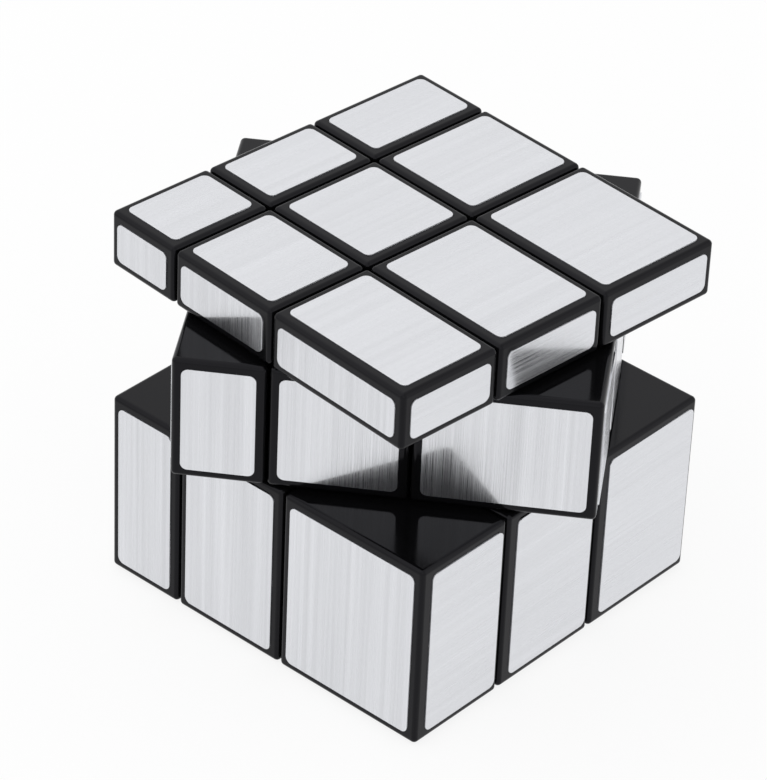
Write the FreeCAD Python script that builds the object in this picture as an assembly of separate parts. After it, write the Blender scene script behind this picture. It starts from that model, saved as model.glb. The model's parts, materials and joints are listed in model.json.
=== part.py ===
import FreeCAD, Part
import math
import os

# Uneven-block twisty puzzle: a 3 x 3 x 3 turning cube whose core is off centre, so that its
# blocks all differ in size. It stands on its bottom face at z = 0, with the turning axis of
# the layers along +Z through the origin. -Y is the front and +X the right-hand side.
# The middle slice is stored part-way through a turn, and the top layer a few degrees round.
# The mechanism is drawn about the core's centre first and then lifted into place.

V = FreeCAD.Vector

# ---- driving dimensions, mm and degrees -------------------------------------------------
cell = 19.0            # width of the middle slice on every axis
depth = {              # thickness of the layer on each side of the middle slices
    "left": 13.0, "right": 25.0,
    "front": 17.0, "back": 21.0,
    "bottom": 29.0, "top": 9.0,
}
middle_turn = 34.4     # turn of the middle slice from the bottom layer, seen from above
top_turn = -4.9        # turn of the top layer from the bottom layer

gap = 0.3              # between neighbouring blocks
edge_round = 0.7       # rounding of the blocks' edges
wall = 1.5             # wall of the hollow blocks
fit = 0.05             # clearance of pieces that are pressed or screwed together
run = 0.15             # clearance on each side of a sliding surface inside the mechanism

outer_lip = 1.5        # how far a corner's foot reaches under the edge blocks
inner_lip = 2.0        # how much further an edge's foot reaches under the centre blocks
foot_rise = 2.0        # from a corner block's inner tip out to the spherical undercut
foot_shell = 4.0       # thickness of each spherical shell that the feet run in
post = 5.0             # side of the post that joins a corner's foot to its block
plate = 1.5            # plate of a foot, which closes its hollow block

film = 0.2             # thickness of the mirror films
film_margin = 1.35     # from a block's edge to its film
film_round = 1.0       # corner radius of a film
film_slip = 0.5        # how far the bottom layer's right-hand films sit behind their faces' middles

cap = 1.2              # plate that closes a centre block
floor = 2.0            # floor of a centre block, under its spring
hub_radius = 5.0
pocket_radius = 3.0    # bore for the spring and the screw's head
core_radius = 5.5
arm_radius = 3.4
arm_gap = 0.3          # between a core arm's end and the centre block's hub
thread_depth = 6.0     # length of a screw inside its arm

screw_radius = 1.25
head_radius = 2.4
head_height = 1.6
slot_width = 0.7       # cross recess in a screw's head
slot_length = 2.8
slot_depth = 0.8
washer = 0.5
washer_radius = 2.7
spring_space = 3.5     # length of a spring as fitted
spring_radius = 2.1    # from the screw's axis to the middle of the wire
wire_radius = 0.3
spring_turns = 3.5

# ---- sizes that follow ------------------------------------------------------------------
half = cell / 2
inner_face = half + gap / 2            # where an outer layer's blocks begin
slice_face = half - gap / 2            # where a middle slice's blocks end
undercut = math.sqrt(3) * half + foot_rise
shell_middle = undercut - foot_shell
shell_inner = shell_middle - foot_shell
outer_cut = half - outer_lip           # cut plane inside the undercut
inner_cut = outer_cut - inner_lip      # cut plane inside the middle shell

reach = {name: half + thickness for name, thickness in depth.items()}
core_height = reach["bottom"]
head_top = min(reach.values()) - film - cap - run
washer_top = head_top - head_height
spring_top = washer_top - washer
spring_foot = spring_top - spring_space
hub_end = spring_foot - floor
arm_end = hub_end - arm_gap
cap_half = slice_face - wall
far = 2 * max(reach.values())          # longer than anything in the cube

SIDES = [("left", "right"), ("front", "back"), ("bottom", "top")]
WORDS = {-1: 0, 1: 1}
LAYER_NAMES = {-1: "bottom", 0: "middle", 1: "top"}
TURNS = {-1: 0.0, 0: middle_turn, 1: top_turn}


# ---- helpers ----------------------------------------------------------------------------
def box(spans):
    """A box from its three (low, high) spans."""
    sizes = [high - low for low, high in spans]
    return Part.makeBox(*sizes, V(*[low for low, _ in spans]))


def rod(radius, low, high):
    """A cylinder along +Z between two heights."""
    return Part.makeCylinder(radius, high - low, V(0, 0, low))


def shell_between(inner, outer):
    """The hollow ball between two radii, with the running clearance taken off both."""
    return Part.makeSphere(outer - run).cut(Part.makeSphere(inner + run))


def side_name(axis, side):
    return SIDES[axis][WORDS[side]]


def span(axis, side, near, middle, outer_inset=0.0):
    """Where a piece lies along one axis: outside the near plane, or within the slice."""
    if side == 0:
        return (-middle, middle)
    end = reach[side_name(axis, side)] - outer_inset
    return tuple(sorted((side * near, side * end)))


def block_spans(sides):
    return [span(axis, side, inner_face, slice_face, film) for axis, side in enumerate(sides)]


def shrink(low_high, amount):
    return (low_high[0] + amount, low_high[1] - amount)


def placed(shape, layer):
    """Turn a shape with its layer and lift it to the core's height."""
    moved = shape.copy()
    moved.rotate(V(0, 0, 0), V(0, 0, 1), TURNS[layer])
    moved.translate(V(0, 0, core_height))
    return moved


def aimed(shape, axis, side):
    """Swing a shape that was drawn along +Z out to one of the six faces."""
    moved = shape.copy()
    if axis == 0:
        moved.rotate(V(0, 0, 0), V(0, 1, 0), 90 * side)
    elif axis == 1:
        moved.rotate(V(0, 0, 0), V(1, 0, 0), -90 * side)
    elif side < 0:
        moved.rotate(V(0, 0, 0), V(1, 0, 0), 180)
    return moved


def save(name, shapes):
    shape = shapes[0] if len(shapes) == 1 else Part.makeCompound(shapes)
    shape.exportStep(f"parts/{name}.step")


# ---- hollow blocks and their feet -------------------------------------------------------
def mouth_axis(sides):
    """The axis of the hidden face by which a hollow block is open."""
    return 0 if sides[0] != 0 else 1


def mouth_plate(sides, depth_in, clearance):
    """The block's hollow, taken in from its open face to a depth."""
    axis = mouth_axis(sides)
    spans = [shrink(s, wall + clearance) for s in block_spans(sides)]
    ends = (sides[axis] * inner_face, sides[axis] * (inner_face + depth_in))
    spans[axis] = tuple(sorted(ends))
    return spans


def hollow_block(sides):
    """A rounded block, open on one hidden face, cut back where its foot sits."""
    spans = block_spans(sides)
    body = box(spans)
    body = body.makeFillet(edge_round, body.Edges)
    axis = mouth_axis(sides)
    block_depth = spans[axis][1] - spans[axis][0]
    body = body.cut(box(mouth_plate(sides, block_depth - wall, 0.0)))
    if 0 in sides:
        return body.cut(Part.makeSphere(undercut + run))
    notch = inner_face + post + fit
    return body.cut(box([tuple(sorted((0.0, side * notch))) for side in sides]))


def corner_foot(sides):
    lip = box([tuple(sorted((side * (outer_cut + run), side * far))) for side in sides])
    lip = lip.common(shell_between(shell_middle, undercut))
    stem = box([tuple(sorted((side * inner_face, side * (inner_face + post)))) for side in sides])
    return lip.fuse([stem, box(mouth_plate(sides, plate, fit))]).removeSplitter()


def edge_foot(sides):
    def wedge(near, middle):
        return box([
            (-middle, middle) if side == 0 else tuple(sorted((side * near, side * far)))
            for side in sides
        ])

    outer_shell = shell_between(shell_middle, undercut)
    inner_shell = shell_between(shell_inner, shell_middle)
    both_shells = shell_between(shell_inner, undercut)
    lip = wedge(outer_cut + run, outer_cut - run).common(outer_shell)
    neck = wedge(outer_cut + run, inner_cut - run).common(both_shells)
    tongue = wedge(inner_cut + run, inner_cut - run).common(inner_shell)

    axis = mouth_axis(sides)
    spans = mouth_plate(sides, plate, fit)
    for other, side in enumerate(sides):
        if side != 0 and other != axis:
            outer_end = side * (reach[side_name(other, side)] - film - wall - fit)
            spans[other] = tuple(sorted((side * inner_face, outer_end)))
    lid = box(spans).cut(Part.makeSphere(shell_middle + run))
    return lip.fuse([neck, tongue, lid]).removeSplitter()


# ---- centre blocks, drawn along +Z ------------------------------------------------------
def centre_block(length):
    top = length - film
    seat = min(undercut + floor, top - cap)
    square = (-slice_face, slice_face)
    body = box([square, square, (inner_face, top)])
    body = body.makeFillet(edge_round, body.Edges)
    body = body.cut(Part.makeSphere(undercut + run))
    narrow = (run - outer_cut, outer_cut - run)
    column = box([narrow, narrow, (outer_cut, seat)]).cut(Part.makeSphere(shell_middle + run))
    hub = rod(hub_radius, hub_end, shell_middle + 2 * run)
    body = body.fuse([column, hub])
    body = body.cut(rod(screw_radius + run, 0.0, far))
    body = body.cut(rod(pocket_radius, spring_foot, far))
    hollow = (-cap_half, cap_half)
    return body.cut(box([hollow, hollow, (seat, far)])).removeSplitter()


def centre_cap(length):
    square = (fit - cap_half, cap_half - fit)
    return box([square, square, (length - film - cap, length - film)])


def film_plate(spans, axis, side, slip=0.0):
    """A thin plate with rounded corners on the outer face of a block."""
    face = [shrink(s, film_margin) for s in spans]
    face[1] = (face[1][0] + slip, face[1][1] + slip)
    end = reach[side_name(axis, side)]
    face[axis] = tuple(sorted((side * (end - film), side * end)))
    plate_body = box(face)
    normal = V(*[1.0 if index == axis else 0.0 for index in range(3)])
    upright = [e for e in plate_body.Edges if abs(e.tangentAt(e.FirstParameter).dot(normal)) > 0.9]
    return plate_body.makeFillet(film_round, upright)


# ---- core, screws, washers and springs --------------------------------------------------
def core():
    body = Part.makeSphere(core_radius)
    for axis in range(3):
        for side in (-1, 1):
            body = body.fuse(aimed(rod(arm_radius, 0.0, arm_end), axis, side))
    for axis in range(3):
        for side in (-1, 1):
            bore = rod(screw_radius + fit, arm_end - thread_depth - fit, arm_end)
            body = body.cut(aimed(bore, axis, side))
    return body.removeSplitter()


def screw():
    shank = rod(screw_radius, arm_end - thread_depth, washer_top)
    head = rod(head_radius, washer_top, head_top)
    body = shank.fuse(head)
    for long_x in (True, False):
        size = (slot_length / 2, slot_width / 2) if long_x else (slot_width / 2, slot_length / 2)
        spans = [(-size[0], size[0]), (-size[1], size[1]), (head_top - slot_depth, head_top)]
        body = body.cut(box(spans))
    return body.removeSplitter()


def washer_ring():
    return rod(washer_radius, spring_top, washer_top).cut(rod(screw_radius + fit, 0.0, far))


def spring():
    """A coil of round wire, standing clear of the floor and the washer by the fit."""
    low = spring_foot + wire_radius + fit
    high = spring_top - wire_radius - fit
    rise = (high - low) / spring_turns
    path = Part.Wire(Part.makeLongHelix(rise, high - low, spring_radius).Edges)
    section = Part.Wire(Part.makeCircle(wire_radius, V(spring_radius, 0, 0), V(0, 1, 0)))
    coil = path.makePipeShell([section], True, True)
    coil.translate(V(0, 0, low))
    return coil


# ---- the whole cube ---------------------------------------------------------------------
def outer_blocks():
    """The corner and edge blocks, one node each, and their feet, one node per layer."""
    signs = (-1, 0, 1)
    for layer in signs:
        feet = {"corner": [], "edge": []}
        for across in signs:
            for along in signs:
                sides = (along, across, layer)
                zeros = sides.count(0)
                if zeros > 1:
                    continue
                kind = "edge" if zeros else "corner"
                words = [side_name(axis, sides[axis]) for axis in (1, 0) if sides[axis] != 0]
                name = "_".join([LAYER_NAMES[layer]] + words + [kind])
                save(name, [placed(hollow_block(sides), layer)])
                foot = edge_foot(sides) if zeros else corner_foot(sides)
                feet[kind].append(placed(foot, layer))
        for kind, shapes in feet.items():
            if shapes:
                save(f"{LAYER_NAMES[layer]}_{kind}_feet", shapes)


def centres():
    """The six centre blocks with their caps, films and springs."""
    for axis in range(3):
        for side in (-1, 1):
            layer = side if axis == 2 else 0
            name = side_name(axis, side)
            length = reach[name]
            pieces = {
                "centre_block": centre_block(length),
                "centre_cap": centre_cap(length),
            }
            for word, shape in pieces.items():
                save(f"{name}_{word}", [placed(aimed(shape, axis, side), layer)])
            sides = [side if index == axis else 0 for index in range(3)]
            save(f"{name}_centre_film", [placed(film_plate(block_spans(sides), axis, side), layer)])
            save(f"{name}_spring", [placed(aimed(spring(), axis, side), 0)])


def films():
    """The films of the corner and edge blocks, grouped by the face they lie on."""
    signs = (-1, 0, 1)
    groups = {}
    for layer in signs:
        for across in signs:
            for along in signs:
                sides = (along, across, layer)
                if sides.count(0) > 1:
                    continue
                for axis, side in enumerate(sides):
                    if side == 0:
                        continue
                    where = "face" if axis == 2 else "side"
                    name = f"{LAYER_NAMES[layer]}_{where}_films"
                    slip = film_slip if (layer, axis, side) == (-1, 0, 1) else 0.0
                    plate_body = film_plate(block_spans(sides), axis, side, slip)
                    groups.setdefault(name, []).append(placed(plate_body, layer))
    for name, shapes in groups.items():
        save(name, shapes)


def centre_hardware():
    """The core and what holds the six centres to it."""
    save("core", [placed(core(), 0)])
    arms = [(axis, side) for axis in range(3) for side in (-1, 1)]
    save("centre_screws", [placed(aimed(screw(), axis, side), 0) for axis, side in arms])
    save("centre_washers", [placed(aimed(washer_ring(), axis, side), 0) for axis, side in arms])


os.makedirs("parts", exist_ok=True)
outer_blocks()
centres()
films()
centre_hardware()
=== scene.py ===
import json
import math

import bpy
from bpy.props import FloatProperty, FloatVectorProperty, IntProperty, PointerProperty
from mathutils import Matrix, Vector


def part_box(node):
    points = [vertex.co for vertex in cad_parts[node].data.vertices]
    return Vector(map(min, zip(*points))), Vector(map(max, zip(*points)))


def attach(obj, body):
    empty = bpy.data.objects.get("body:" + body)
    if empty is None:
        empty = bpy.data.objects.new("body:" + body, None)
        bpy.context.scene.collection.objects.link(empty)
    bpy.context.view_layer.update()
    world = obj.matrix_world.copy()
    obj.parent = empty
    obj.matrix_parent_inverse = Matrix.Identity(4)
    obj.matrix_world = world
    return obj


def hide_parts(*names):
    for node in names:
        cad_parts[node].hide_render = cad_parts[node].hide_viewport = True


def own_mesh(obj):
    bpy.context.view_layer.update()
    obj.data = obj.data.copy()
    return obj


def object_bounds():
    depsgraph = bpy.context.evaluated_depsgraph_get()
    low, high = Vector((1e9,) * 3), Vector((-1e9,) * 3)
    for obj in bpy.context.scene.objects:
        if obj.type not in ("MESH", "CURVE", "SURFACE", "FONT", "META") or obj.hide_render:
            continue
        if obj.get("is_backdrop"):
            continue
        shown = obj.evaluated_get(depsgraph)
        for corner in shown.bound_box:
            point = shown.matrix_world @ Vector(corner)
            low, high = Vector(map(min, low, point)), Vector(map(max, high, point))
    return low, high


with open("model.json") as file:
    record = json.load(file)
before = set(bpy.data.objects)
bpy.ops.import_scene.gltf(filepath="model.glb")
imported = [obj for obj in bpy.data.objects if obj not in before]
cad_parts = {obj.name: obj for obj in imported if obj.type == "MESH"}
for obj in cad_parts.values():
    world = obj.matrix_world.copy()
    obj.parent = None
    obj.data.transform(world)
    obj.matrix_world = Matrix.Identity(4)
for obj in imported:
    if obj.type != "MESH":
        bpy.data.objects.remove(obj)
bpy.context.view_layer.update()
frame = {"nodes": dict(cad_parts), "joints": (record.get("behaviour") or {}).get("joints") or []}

bl_info = {
    "name": "Uneven-Block Twisty Puzzle",
    "version": (1, 0, 0),
    "blender": (4, 5, 0),
    "location": "View3D > Sidebar > Puzzle",
    "description": "Makes the blocks, mirror films, finishes and studio of a turning puzzle",
    "category": "Add Mesh",
}

# A block is named by its side of the core on each axis: -1, 0 or 1 along X, Y and Z.
SIGNS = (-1, 0, 1)
SIDE_NAMES = (("left", "right"), ("front", "back"), ("bottom", "top"))
LAYER_NAMES = {-1: "bottom", 0: "middle", 1: "top"}
LAYER_BODIES = {-1: "bottom_layer", 0: "middle_slice", 1: "top_layer"}

# For each axis, the nodes whose boxes give the span of a block at -1, 0 and 1. Those for X and
# Y are in the bottom layer, which isn't turned.
GRID_NODES = (
    ("bottom_front_left_corner", "bottom_front_edge", "bottom_front_right_corner"),
    ("bottom_front_left_corner", "bottom_left_edge", "bottom_back_left_corner"),
    ("bottom_front_left_corner", "middle_front_left_edge", "top_front_left_corner"),
)

# How finely round shapes are divided, and up to which angle two faces are shaded as one.
BALL_SEGMENTS = 72
BALL_RINGS = BALL_SEGMENTS // 2
FILM_CORNER_STEPS = 8
CUT_EDGE_STEPS = 2
BLOCK_SMOOTH_ANGLE = math.radians(30)
COIL_SMOOTH_ANGLE = math.radians(40)

# Places nearer than this, in metres, are one place, and lines this near in direction (as the
# cosine between them) run the same way.
SAME_PLACE = 1e-6
SAME_WAY = 0.9

# In metres: the height of each finish's relief, and the step from where one film's grain starts
# to where the next one's does.
PEEL_HEIGHT = 0.00004
BRUSH_HEIGHT = 0.00002
TURNING_HEIGHT = 0.00002
GRAIN_STEP = 0.137

# Brushed streaks are narrow strokes and wide bands added together. This is the strokes' share.
STROKE_SHARE = 0.65

# The studio, in metres and watts. Each softbox has its name, place, side length and power.
WHITE = (1.0, 1.0, 1.0, 1.0)
FLOOR_SIZE = 8.0
FLOOR_DROP = 0.0001
SOFTBOXES = (
    ("key_softbox", (-0.32, -0.15, 0.52), 1.00, 1.2),
    ("side_softbox", (0.58, 0.42, 0.20), 0.80, 0.5),
    ("fill_softbox", (0.40, -0.50, 0.40), 0.70, 0.4),
)
SENSOR_WIDTH_MM = 36.0
NEAR_CLIP = 0.01


def joint(name):
    return next(entry for entry in frame["joints"] if entry["name"] == name)


def turned_towards(name):
    """The angle about Z of the joint axis that points to the right at no turn."""
    axis = joint(name)["axis"]
    return math.atan2(axis[1], axis[0])


CORE = Vector(joint("middle_slice_turn")["pos_m"])
MIDDLE_TURN = turned_towards("right_centre_slide")


# ---- Settings ---------------------------------------------------------------------------
class PuzzleBlockSettings(bpy.types.PropertyGroup):
    """Sizes and colours of the hollow plastic blocks"""

    middle_turn: FloatProperty(
        name="Middle Slice Turn", description="Turn of the middle slice about the upright axis",
        default=MIDDLE_TURN, subtype="ANGLE")
    top_turn: FloatProperty(
        name="Top Layer Turn", description="Turn of the top layer about the upright axis",
        default=math.radians(-4.9), subtype="ANGLE")
    rounding: FloatProperty(
        name="Edge Rounding", description="Radius of a block's edges",
        default=0.0007, min=0.0, precision=5, subtype="DISTANCE", unit="LENGTH")
    rounding_steps: IntProperty(
        name="Rounding Steps", description="Faces across each rounded edge",
        default=6, min=1, max=16)
    wall: FloatProperty(
        name="Wall", description="Thickness of a hollow block's wall",
        default=0.0015, min=0.0, precision=5, subtype="DISTANCE", unit="LENGTH")
    undercut: FloatProperty(
        name="Undercut", description="Radius of the ball-shaped hollow that the feet run in",
        default=0.018605, min=0.0, precision=5, subtype="DISTANCE", unit="LENGTH")
    notch: FloatProperty(
        name="Corner Notch", description="Reach of a corner block's notch from the core",
        default=0.0147, min=0.0, precision=5, subtype="DISTANCE", unit="LENGTH")
    colour: FloatVectorProperty(
        name="Plastic Colour", description="Colour of the moulded blocks",
        default=(0.0030, 0.0030, 0.0034), min=0.0, max=1.0, subtype="COLOR")
    roughness: FloatProperty(
        name="Plastic Roughness", description="Roughness of the moulded blocks",
        default=0.10, min=0.0, max=1.0, subtype="FACTOR")
    mechanism_roughness: FloatProperty(
        name="Mechanism Roughness", description="Roughness of the core, the feet and the caps",
        default=0.20, min=0.0, max=1.0, subtype="FACTOR")
    shine: FloatProperty(
        name="Plastic Shine", description="Strength of the plastic's reflections",
        default=0.16, min=0.0, max=1.0, subtype="FACTOR")
    shine_tint: FloatVectorProperty(
        name="Shine Tint", description="Colour of the plastic's reflections",
        default=(0.91, 0.90, 1.0), min=0.0, max=1.0, subtype="COLOR")


class PuzzleFilmSettings(bpy.types.PropertyGroup):
    """Sizes and colours of the brushed mirror films"""

    margin: FloatProperty(
        name="Film Margin", description="Distance from a block's edge to its film",
        default=0.00135, min=0.0, precision=5, subtype="DISTANCE", unit="LENGTH")
    corner: FloatProperty(
        name="Corner Radius", description="Radius of a film's corners",
        default=0.0010, min=0.0, precision=5, subtype="DISTANCE", unit="LENGTH")
    slip: FloatProperty(
        name="Film Slip",
        description="How far the bottom layer's right-hand films sit behind their faces' middles",
        default=0.0005, precision=5, subtype="DISTANCE", unit="LENGTH")
    thickness: FloatProperty(
        name="Thickness", description="Thickness of a film",
        default=0.0002, min=0.0, precision=5, subtype="DISTANCE", unit="LENGTH")
    cut_edge: FloatProperty(
        name="Cut Edge", description="Rounding of a film's cut edge",
        default=0.00006, min=0.0, precision=5, subtype="DISTANCE", unit="LENGTH")
    colour: FloatVectorProperty(
        name="Film Colour", description="Colour of the mirror film",
        default=(0.720, 0.729, 0.757), min=0.0, max=1.0, subtype="COLOR")
    streaks: FloatProperty(
        name="Streaks", description="How much the lines lighten and darken a film brushed level",
        default=0.045, min=0.0, max=0.5, subtype="FACTOR")
    upright_streaks: FloatProperty(
        name="Upright Streaks", description="The same for a film brushed up and down",
        default=0.12, min=0.0, max=0.5, subtype="FACTOR")
    relief: FloatProperty(
        name="Relief", description="How strongly the lines of a film brushed level catch light",
        default=0.03, min=0.0, max=1.0, subtype="FACTOR")
    upright_relief: FloatProperty(
        name="Upright Relief", description="The same for a film brushed up and down",
        default=0.08, min=0.0, max=1.0, subtype="FACTOR")


class PuzzleHardwareSettings(bpy.types.PropertyGroup):
    """How the springs behind the centre blocks give, and the steel of the small hardware"""

    seat: FloatProperty(
        name="Spring Seat", description="Distance from the core to the washer a spring rests on",
        default=0.01485, min=0.0, precision=5, subtype="DISTANCE", unit="LENGTH")
    squeezed: FloatProperty(
        name="Squeezed Length", description="Share of its length a spring keeps at full pull",
        default=0.855, min=0.01, max=1.0, subtype="FACTOR")
    screw_colour: FloatVectorProperty(
        name="Screw Colour", description="Colour of the screws and washers",
        default=(0.62, 0.62, 0.64), min=0.0, max=1.0, subtype="COLOR")
    screw_roughness: FloatProperty(
        name="Screw Roughness", description="Roughness of the screws and washers",
        default=0.28, min=0.0, max=1.0, subtype="FACTOR")
    wire_colour: FloatVectorProperty(
        name="Wire Colour", description="Colour of the springs' wire",
        default=(0.50, 0.50, 0.52), min=0.0, max=1.0, subtype="COLOR")
    wire_roughness: FloatProperty(
        name="Wire Roughness", description="Roughness of the springs' wire",
        default=0.34, min=0.0, max=1.0, subtype="FACTOR")


class PuzzleStageSettings(bpy.types.PropertyGroup):
    """Camera, lamps and floor"""

    aim: FloatVectorProperty(
        name="Aim", description="Point that the camera looks at",
        default=(0.00326, 0.00036, 0.02927), precision=5, subtype="TRANSLATION", unit="LENGTH")
    azimuth: FloatProperty(
        name="Azimuth", description="Camera's turn from the front towards the right",
        default=math.radians(40.64), subtype="ANGLE")
    elevation: FloatProperty(
        name="Elevation", description="Camera's height above the horizon, as an angle",
        default=math.radians(34.67), subtype="ANGLE")
    roll: FloatProperty(
        name="Roll", description="Camera's turn about its own line of sight",
        default=math.radians(2.57), subtype="ANGLE")
    distance: FloatProperty(
        name="Distance", description="Distance from the camera to the aim point",
        default=0.5847, min=0.01, precision=4, subtype="DISTANCE", unit="LENGTH")
    lens: FloatProperty(
        name="Lens", description="Focal length on a 36 mm sensor",
        default=197.8, min=1.0, subtype="DISTANCE_CAMERA")
    lamp_strength: FloatProperty(
        name="Lamp Strength", description="Scale of all three lamps", default=1.0, min=0.0)
    world_grey: FloatProperty(
        name="World Grey", description="Brightness of the surrounding light",
        default=0.85, min=0.0, max=1.0, subtype="FACTOR")
    floor_colour: FloatVectorProperty(
        name="Floor Colour", description="Colour of the floor",
        default=(0.93, 0.93, 0.93), min=0.0, max=1.0, subtype="COLOR")
    floor_glow: FloatProperty(
        name="Floor Glow", description="Share of plain white in the floor where it is seen",
        default=0.85, min=0.0, max=1.0, subtype="FACTOR")


# ---- Where the blocks are ---------------------------------------------------------------
def grid_span(axis, side):
    """The low and high limits of a block along one axis, before its layer is turned."""
    low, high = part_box(GRID_NODES[axis][side + 1])
    return low[axis], high[axis]


def side_name(axis, side):
    return SIDE_NAMES[axis][side > 0]


def block_spans(sides):
    return [grid_span(axis, side) for axis, side in enumerate(sides)]


def outer_sides(sides):
    return [(axis, side) for axis, side in enumerate(sides) if side != 0]


def is_centre(sides):
    return sides.count(0) == 2


def block_name(sides):
    if is_centre(sides):
        axis, side = outer_sides(sides)[0]
        return f"{side_name(axis, side)}_centre"
    kind = "corner" if 0 not in sides else "edge"
    words = [side_name(axis, sides[axis]) for axis in (1, 0) if sides[axis] != 0]
    return "_".join([LAYER_NAMES[sides[2]], *words, kind])


def body_name(sides):
    return block_name(sides) if is_centre(sides) else LAYER_BODIES[sides[2]]


def layer_turn(layer):
    settings = bpy.context.scene.puzzle_blocks
    return {-1: 0.0, 0: settings.middle_turn, 1: settings.top_turn}[layer]


def every_block():
    """All 26 blocks of the puzzle, by their side of the core on each axis."""
    for layer in SIGNS:
        for across in SIGNS:
            for along in SIGNS:
                if (along, across, layer) != (0, 0, 0):
                    yield (along, across, layer)


def shrink(span, amount):
    return span[0] + amount, span[1] - amount


# ---- Modelling helpers ------------------------------------------------------------------
def select_only(piece):
    bpy.ops.object.select_all(action="DESELECT")
    piece.select_set(True)
    bpy.context.view_layer.objects.active = piece


def apply_transforms(piece):
    select_only(piece)
    bpy.ops.object.transform_apply(location=True, rotation=True, scale=True)


def add_cube(name, spans):
    """A cube primitive stretched to three (low, high) spans."""
    centre = [(low + high) / 2 for low, high in spans]
    size = [high - low for low, high in spans]
    bpy.ops.object.select_all(action="DESELECT")
    bpy.ops.mesh.primitive_cube_add(size=1.0, location=centre, scale=size)
    piece = bpy.context.object
    piece.name = piece.data.name = name
    apply_transforms(piece)
    return piece


def add_ball(radius):
    bpy.ops.object.select_all(action="DESELECT")
    bpy.ops.mesh.primitive_uv_sphere_add(
        segments=BALL_SEGMENTS, ring_count=BALL_RINGS, radius=radius, location=CORE)
    ball = bpy.context.object
    apply_transforms(ball)
    return ball


def cut(piece, tool):
    """Cut a tool's shape out of a piece, and throw the tool away."""
    select_only(piece)
    boolean = piece.modifiers.new("Cut", "BOOLEAN")
    boolean.operation = "DIFFERENCE"
    boolean.solver = "EXACT"
    boolean.object = tool
    bpy.ops.object.modifier_apply(modifier=boolean.name)
    bpy.data.objects.remove(tool)


def choose_edges(piece, wanted):
    """Select the edges for which wanted(start, end) is true, in edit mode."""
    select_only(piece)
    bpy.ops.object.mode_set(mode="EDIT")
    bpy.ops.mesh.select_mode(type="EDGE")
    bpy.ops.mesh.select_all(action="DESELECT")
    bpy.ops.object.mode_set(mode="OBJECT")
    points = piece.data.vertices
    for edge in piece.data.edges:
        start, end = (points[index].co for index in edge.vertices)
        edge.select = bool(wanted(start, end))
    bpy.ops.object.mode_set(mode="EDIT")


def bevel_chosen(width, steps):
    bpy.ops.mesh.bevel(offset=width, segments=steps, profile=0.5, affect="EDGES")
    bpy.ops.object.mode_set(mode="OBJECT")


def finish_shading(piece):
    """Smooth the roundings and keep the flat faces flat."""
    select_only(piece)
    bpy.ops.object.shade_smooth_by_angle(angle=BLOCK_SMOOTH_ANGLE)
    weighted = piece.modifiers.new("Flat Faces", "WEIGHTED_NORMAL")
    weighted.keep_sharp = True
    bpy.ops.object.modifier_apply(modifier=weighted.name)


def turn_with_layer(piece, layer):
    piece.rotation_euler.z = layer_turn(layer)
    apply_transforms(piece)


# ---- Materials --------------------------------------------------------------------------
def new_material(name):
    material = bpy.data.materials.new(name)
    material.use_nodes = True
    nodes = material.node_tree.nodes
    shader = nodes["Principled BSDF"]
    return material, nodes, material.node_tree.links, shader


def add_noise(nodes, links, vector, scale, detail=3.0, roughness=0.5):
    noise = nodes.new("ShaderNodeTexNoise")
    noise.inputs["Scale"].default_value = scale
    noise.inputs["Detail"].default_value = detail
    noise.inputs["Roughness"].default_value = roughness
    links.new(vector, noise.inputs["Vector"])
    return noise.outputs["Fac"]


def add_range(nodes, links, value, low, high, from_low=0.3, from_high=0.7):
    """Map a noise value to the range that a socket needs."""
    spread = nodes.new("ShaderNodeMapRange")
    spread.inputs["From Min"].default_value = from_low
    spread.inputs["From Max"].default_value = from_high
    spread.inputs["To Min"].default_value = low
    spread.inputs["To Max"].default_value = high
    links.new(value, spread.inputs["Value"])
    return spread.outputs["Result"]


def add_bump(nodes, links, height, shader, strength, distance):
    bump = nodes.new("ShaderNodeBump")
    bump.inputs["Strength"].default_value = strength
    bump.inputs["Distance"].default_value = distance
    links.new(height, bump.inputs["Height"])
    links.new(bump.outputs["Normal"], shader.inputs["Normal"])


def moulded_plastic(name, settings, roughness):
    """Glossy black plastic with the faint orange peel of a polished mould."""
    material, nodes, links, shader = new_material(name)
    place = nodes.new("ShaderNodeTexCoord").outputs["Object"]
    peel = add_noise(nodes, links, place, scale=900.0, detail=2.0)
    wear = add_noise(nodes, links, place, scale=140.0, detail=5.0, roughness=0.65)
    shader.inputs["Base Color"].default_value = (*settings.colour, 1.0)
    shader.inputs["Specular IOR Level"].default_value = settings.shine
    shader.inputs["Specular Tint"].default_value = (*settings.shine_tint, 1.0)
    links.new(add_range(nodes, links, wear, low=roughness - 0.03, high=roughness + 0.05),
              shader.inputs["Roughness"])
    add_bump(nodes, links, peel, shader, strength=0.05, distance=PEEL_HEIGHT)
    return material


def add_lines(nodes, links, per_metre, length, detail):
    """Noise drawn out along V into brushed lines, per_metre across and length times as long."""
    grain = nodes.new("ShaderNodeUVMap")
    grain.uv_map = "grain"
    stretch = nodes.new("ShaderNodeMapping")
    stretch.inputs["Scale"].default_value = (1.0, 1.0 / length, 1.0)
    links.new(grain.outputs["UV"], stretch.inputs["Vector"])
    return add_noise(nodes, links, stretch.outputs["Vector"], per_metre, detail, roughness=0.6)


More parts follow.
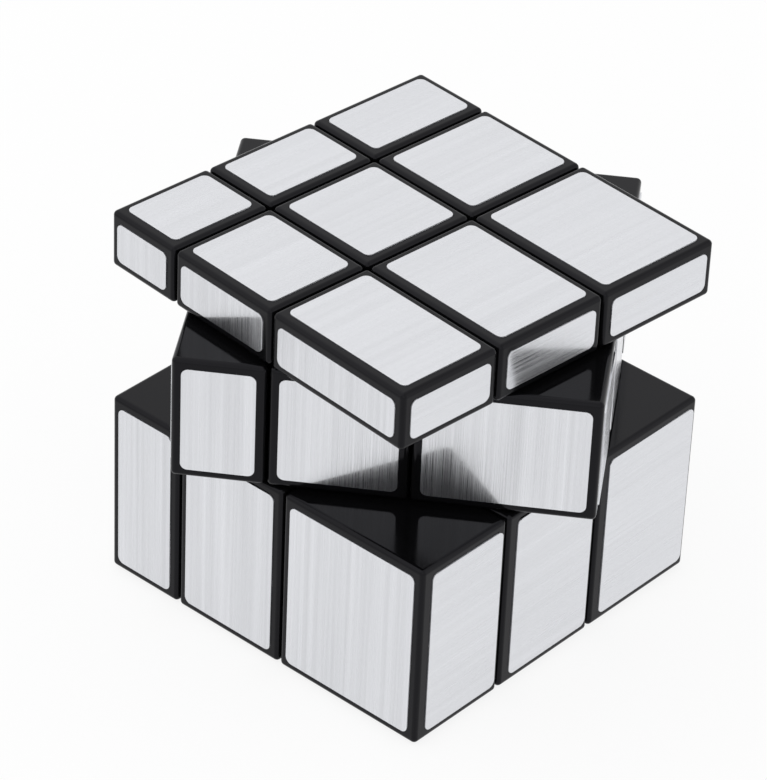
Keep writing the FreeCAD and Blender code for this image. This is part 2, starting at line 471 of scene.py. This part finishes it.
def brushed_film(name, colour, depth, relief):
    """Silver mirror film: polished metal under rough hairlines that run along V."""
    material, nodes, links, shader = new_material(name)
    hairlines = add_lines(nodes, links, per_metre=50000.0, length=1500.0, detail=1.0)
    strokes = add_lines(nodes, links, per_metre=900.0, length=160.0, detail=2.0)
    bands = add_lines(nodes, links, per_metre=260.0, length=30.0, detail=2.0)

    streaks = nodes.new("ShaderNodeMath")
    links.new(add_range(nodes, links, strokes, low=0.0, high=STROKE_SHARE), streaks.inputs[0])
    links.new(add_range(nodes, links, bands, low=0.0, high=1.0 - STROKE_SHARE), streaks.inputs[1])
    tint = nodes.new("ShaderNodeMix")
    tint.data_type = "RGBA"
    tint.inputs["A"].default_value = (*(channel * (1.0 - depth) for channel in colour), 1.0)
    tint.inputs["B"].default_value = (*(channel * (1.0 + depth) for channel in colour), 1.0)
    links.new(streaks.outputs["Value"], tint.inputs["Factor"])
    links.new(tint.outputs["Result"], shader.inputs["Base Color"])

    roughness = nodes.new("ShaderNodeMath")
    scratched = add_range(
        nodes, links, hairlines, low=0.10, high=0.40, from_low=0.44, from_high=0.56)
    links.new(scratched, roughness.inputs[0])
    links.new(add_range(nodes, links, strokes, low=-0.02, high=0.04), roughness.inputs[1])
    links.new(roughness.outputs["Value"], shader.inputs["Roughness"])

    shader.inputs["Metallic"].default_value = 1.0
    shader.inputs["Anisotropic"].default_value = 0.7
    tangent = nodes.new("ShaderNodeTangent")
    tangent.direction_type = "UV_MAP"
    tangent.uv_map = "grain"
    links.new(tangent.outputs["Tangent"], shader.inputs["Tangent"])
    add_bump(nodes, links, strokes, shader, strength=relief, distance=BRUSH_HEIGHT)
    return material


def turned_steel(name, colour, roughness):
    """Bright steel of small hardware, with fine turning marks."""
    material, nodes, links, shader = new_material(name)
    place = nodes.new("ShaderNodeTexCoord").outputs["Object"]
    marks = add_noise(nodes, links, place, scale=2500.0, detail=3.0, roughness=0.6)
    shader.inputs["Base Color"].default_value = (*colour, 1.0)
    shader.inputs["Metallic"].default_value = 1.0
    links.new(add_range(nodes, links, marks, low=roughness - 0.08, high=roughness + 0.10),
              shader.inputs["Roughness"])
    add_bump(nodes, links, marks, shader, strength=0.15, distance=TURNING_HEIGHT)
    return material


def give_material(piece, material):
    piece.data.materials.clear()
    piece.data.materials.append(material)


# ---- Hollow blocks ----------------------------------------------------------------------
def rounded_block(name, spans):
    settings = bpy.context.scene.puzzle_blocks
    piece = add_cube(name, spans)
    choose_edges(piece, lambda start, end: True)
    bevel_chosen(settings.rounding, settings.rounding_steps)
    return piece


def hollow_outer_block(sides):
    """A corner or edge block, open on the face that its neighbour hides."""
    settings = bpy.context.scene.puzzle_blocks
    spans = block_spans(sides)
    piece = rounded_block(f"{block_name(sides)}_shell", spans)

    mouth = 0 if sides[0] != 0 else 1
    inside = [shrink(span, settings.wall) for span in spans]
    low, high = inside[mouth]
    reach = 2 * settings.wall
    inside[mouth] = (low - reach, high) if sides[mouth] > 0 else (low, high + reach)
    cut(piece, add_cube("hollow", inside))

    if 0 in sides:
        cut(piece, add_ball(settings.undercut))
    else:
        ends = [(CORE[axis], CORE[axis] + side * settings.notch) for axis, side in enumerate(sides)]
        cut(piece, add_cube("notch", [tuple(sorted(end)) for end in ends]))
    return piece


class PUZZLE_OT_mould_blocks(bpy.types.Operator):
    """Mould the hollow corner and edge blocks, and give the centre blocks the same plastic"""

    bl_idname = "puzzle.mould_blocks"
    bl_label = "Mould Blocks"

    def execute(self, context):
        settings = context.scene.puzzle_blocks
        plastic = moulded_plastic("moulded_black_plastic", settings, settings.roughness)
        for sides in every_block():
            if is_centre(sides):
                give_material(frame["nodes"][f"{block_name(sides)}_block"], plastic)
                continue
            piece = hollow_outer_block(sides)
            turn_with_layer(piece, sides[2])
            finish_shading(piece)
            give_material(piece, plastic)
            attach(piece, body_name(sides))
            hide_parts(block_name(sides))
        return {"FINISHED"}


# ---- Films ------------------------------------------------------------------------------
def lay_grain(piece, across, along, start):
    """A UV map in metres whose V runs along the brushed lines, cut from its own stretch."""
    grain = piece.data.uv_layers.new(name="grain")
    points = piece.data.vertices
    for loop in piece.data.loops:
        place = points[loop.vertex_index].co
        grain.data[loop.index].uv = (place[across] + start, place[along] + start)


def runs_upright(sides, axis):
    """Whether a film's brushed lines run up and down, as at front, back and round the middle."""
    return axis != 2 and (axis == 1 or sides[2] == 0)


def film(sides, axis, side, number):
    """One film: a thin plate with rounded corners and a softened cut edge."""
    settings = bpy.context.scene.puzzle_films
    spans = [shrink(span, settings.margin) for span in block_spans(sides)]
    on_bottom_right = sides[2] == -1 and (axis, side) == (0, 1)
    if on_bottom_right:
        spans[1] = tuple(end + settings.slip for end in spans[1])
    face = grid_span(axis, side)[side > 0]
    top = face + side * settings.thickness
    spans[axis] = tuple(sorted((face, top)))
    word = "mirror" if is_centre(sides) else side_name(axis, side)
    piece = add_cube(f"{block_name(sides)}_{word}_film", spans)

    through = Vector([float(index == axis) for index in range(3)])
    choose_edges(
        piece, lambda start, end: abs((end - start).normalized().dot(through)) > SAME_WAY)
    bevel_chosen(settings.corner, FILM_CORNER_STEPS)
    choose_edges(
        piece,
        lambda start, end: max(abs(start[axis] - top), abs(end[axis] - top)) < SAME_PLACE)
    bevel_chosen(settings.cut_edge, CUT_EDGE_STEPS)

    along = 2 if runs_upright(sides, axis) else 1
    across = next(index for index in range(3) if index not in (axis, along))
    lay_grain(piece, across, along, GRAIN_STEP * number)
    return piece


class PUZZLE_OT_lay_films(bpy.types.Operator):
    """Lay a brushed mirror film on every outer face of a block"""

    bl_idname = "puzzle.lay_films"
    bl_label = "Lay Films"

    def execute(self, context):
        settings = context.scene.puzzle_films
        level = brushed_film(
            "level_brushed_film", settings.colour, settings.streaks, settings.relief)
        upright = brushed_film(
            "upright_brushed_film", settings.colour, settings.upright_streaks,
            settings.upright_relief)
        faces = [(sides, *place) for sides in every_block() for place in outer_sides(sides)]
        for number, (sides, axis, side) in enumerate(faces):
            piece = film(sides, axis, side, number)
            turn_with_layer(piece, sides[2])
            finish_shading(piece)
            give_material(piece, upright if runs_upright(sides, axis) else level)
            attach(piece, body_name(sides))
            if is_centre(sides):
                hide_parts(f"{block_name(sides)}_film")
            else:
                where = "face" if axis == 2 else "side"
                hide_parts(f"{LAYER_NAMES[sides[2]]}_{where}_films")
        return {"FINISHED"}


# ---- Mechanism --------------------------------------------------------------------------
def coil(side):
    """A copy of a spring node's mesh, merged and smoothed."""
    mesh = frame["nodes"][f"{side}_spring"].data.copy()
    piece = bpy.data.objects.new(f"{side}_spring_coil", mesh)
    bpy.context.scene.collection.objects.link(piece)
    select_only(piece)
    bpy.ops.object.mode_set(mode="EDIT")
    bpy.ops.mesh.select_all(action="SELECT")
    bpy.ops.mesh.remove_doubles(threshold=SAME_PLACE)
    bpy.ops.object.mode_set(mode="OBJECT")
    bpy.ops.object.shade_smooth_by_angle(angle=COIL_SMOOTH_ANGLE)
    return piece


class PUZZLE_OT_finish_mechanism(bpy.types.Operator):
    """Give the core, feet, caps, screws and washers their finishes"""

    bl_idname = "puzzle.finish_mechanism"
    bl_label = "Finish Mechanism"

    def execute(self, context):
        blocks = context.scene.puzzle_blocks
        hardware = context.scene.puzzle_hardware
        slick = moulded_plastic("mechanism_plastic", blocks, blocks.mechanism_roughness)
        steel = turned_steel("screw_steel", hardware.screw_colour, hardware.screw_roughness)
        for name, node in frame["nodes"].items():
            if name in ("centre_screws", "centre_washers"):
                give_material(node, steel)
            elif name == "core" or name.endswith(("_feet", "_cap")):
                give_material(node, slick)
        return {"FINISHED"}


class PUZZLE_OT_wind_springs(bpy.types.Operator):
    """Make the coil springs from merged copies of the spring nodes, riding with the middle slice"""

    bl_idname = "puzzle.wind_springs"
    bl_label = "Wind Springs"

    def execute(self, context):
        settings = context.scene.puzzle_hardware
        wire = turned_steel("spring_wire", settings.wire_colour, settings.wire_roughness)
        for pair in SIDE_NAMES:
            for side in pair:
                piece = coil(side)
                give_material(piece, wire)
                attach(piece, LAYER_BODIES[0])
                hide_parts(f"{side}_spring")
                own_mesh(piece)
        return {"FINISHED"}


# ---- Stage ------------------------------------------------------------------------------
def seen_directly(nodes, links):
    """1 for camera, glossy and transmission rays, 0 for the rest."""
    path = nodes.new("ShaderNodeLightPath")
    total = path.outputs["Is Camera Ray"]
    for name in ("Is Glossy Ray", "Is Transmission Ray"):
        add = nodes.new("ShaderNodeMath")
        add.operation = "MAXIMUM"
        links.new(total, add.inputs[0])
        links.new(path.outputs[name], add.inputs[1])
        total = add.outputs["Value"]
    return total


def set_world(settings):
    """Even grey light all round, with a white backdrop behind the object."""
    world = bpy.data.worlds.new("studio")
    bpy.context.scene.world = world
    world.use_nodes = True
    nodes, links = world.node_tree.nodes, world.node_tree.links
    light = nodes["Background"]
    light.inputs["Color"].default_value = (settings.world_grey,) * 3 + (1.0,)
    backdrop = nodes.new("ShaderNodeBackground")
    backdrop.inputs["Color"].default_value = WHITE
    choice = nodes.new("ShaderNodeMixShader")
    links.new(seen_directly(nodes, links), choice.inputs["Fac"])
    links.new(light.outputs["Background"], choice.inputs[1])
    links.new(backdrop.outputs["Background"], choice.inputs[2])
    links.new(choice.outputs["Shader"], nodes["World Output"].inputs["Surface"])


def add_floor(settings):
    """A pale floor that looks white where nothing shades it."""
    bpy.ops.object.select_all(action="DESELECT")
    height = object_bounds()[0][2] - FLOOR_DROP
    bpy.ops.mesh.primitive_plane_add(size=FLOOR_SIZE, location=(0.0, 0.0, height))
    floor = bpy.context.object
    floor.name = "studio_floor"
    material, nodes, links, shader = new_material("pale_floor")
    shader.inputs["Base Color"].default_value = (*settings.floor_colour, 1.0)
    shader.inputs["Roughness"].default_value = 0.9
    shader.inputs["Specular IOR Level"].default_value = 0.0
    glow = nodes.new("ShaderNodeEmission")
    glow.inputs["Color"].default_value = WHITE
    choice = nodes.new("ShaderNodeMixShader")
    share = nodes.new("ShaderNodeMath")
    share.operation = "MULTIPLY"
    share.inputs[1].default_value = settings.floor_glow
    links.new(seen_directly(nodes, links), share.inputs[0])
    links.new(share.outputs["Value"], choice.inputs["Fac"])
    links.new(shader.outputs["BSDF"], choice.inputs[1])
    links.new(glow.outputs["Emission"], choice.inputs[2])
    links.new(choice.outputs["Shader"], nodes["Material Output"].inputs["Surface"])
    give_material(floor, material)
    floor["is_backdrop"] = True


def add_lamp(name, place, size, power):
    """A square softbox that faces the middle of the object."""
    target = Vector((0.0, 0.0, CORE.z))
    turn = (target - Vector(place)).to_track_quat("-Z", "Y").to_euler()
    bpy.ops.object.light_add(type="AREA", location=place, rotation=turn)
    lamp = bpy.context.object
    lamp.name = name
    lamp.data.shape = "SQUARE"
    lamp.data.size = size
    lamp.data.energy = power


def add_camera(settings):
    """A camera that looks at the aim point from its azimuth, elevation and distance."""
    tilt = Matrix.Rotation(settings.azimuth, 4, "Z") @ Matrix.Rotation(
        math.radians(90) - settings.elevation, 4, "X") @ Matrix.Rotation(settings.roll, 4, "Z")
    place = Vector(settings.aim) + tilt.to_3x3() @ Vector((0.0, 0.0, settings.distance))
    bpy.ops.object.camera_add(location=place, rotation=tilt.to_euler())
    camera = bpy.context.object
    camera.name = "camera"
    camera.data.lens = settings.lens
    camera.data.sensor_width = SENSOR_WIDTH_MM
    camera.data.clip_start = NEAR_CLIP
    bpy.context.scene.camera = camera


class PUZZLE_OT_set_stage(bpy.types.Operator):
    """Set the floor, the soft lamps, the backdrop and the camera"""

    bl_idname = "puzzle.set_stage"
    bl_label = "Set Stage"

    def execute(self, context):
        settings = context.scene.puzzle_stage
        context.scene.view_settings.view_transform = "Standard"
        set_world(settings)
        add_floor(settings)
        for name, place, size, power in SOFTBOXES:
            add_lamp(name, place, size, power * settings.lamp_strength)
        add_camera(settings)
        return {"FINISHED"}


class PUZZLE_PT_workshop(bpy.types.Panel):
    """Lists the steps that make the puzzle"""

    bl_label = "Twisty Puzzle"
    bl_space_type = "VIEW_3D"
    bl_region_type = "UI"
    bl_category = "Puzzle"

    def draw(self, context):
        for operator in STEPS:
            self.layout.operator(operator.bl_idname)


STEPS = (
    PUZZLE_OT_mould_blocks,
    PUZZLE_OT_lay_films,
    PUZZLE_OT_finish_mechanism,
    PUZZLE_OT_wind_springs,
    PUZZLE_OT_set_stage,
)
GROUPS = {
    "puzzle_blocks": PuzzleBlockSettings,
    "puzzle_films": PuzzleFilmSettings,
    "puzzle_hardware": PuzzleHardwareSettings,
    "puzzle_stage": PuzzleStageSettings,
}


def register():
    for group_name, group in GROUPS.items():
        bpy.utils.register_class(group)
        setattr(bpy.types.Scene, group_name, PointerProperty(type=group))
    for entry in (*STEPS, PUZZLE_PT_workshop):
        bpy.utils.register_class(entry)


def unregister():
    for entry in reversed((*STEPS, PUZZLE_PT_workshop)):
        bpy.utils.unregister_class(entry)
    for group_name, group in GROUPS.items():
        delattr(bpy.types.Scene, group_name)
        bpy.utils.unregister_class(group)


def main():
    register()
    bpy.ops.puzzle.mould_blocks()
    bpy.ops.puzzle.lay_films()
    bpy.ops.puzzle.finish_mechanism()
    bpy.ops.puzzle.wind_springs()
    bpy.ops.puzzle.set_stage()


if __name__ == "__main__":
    main()
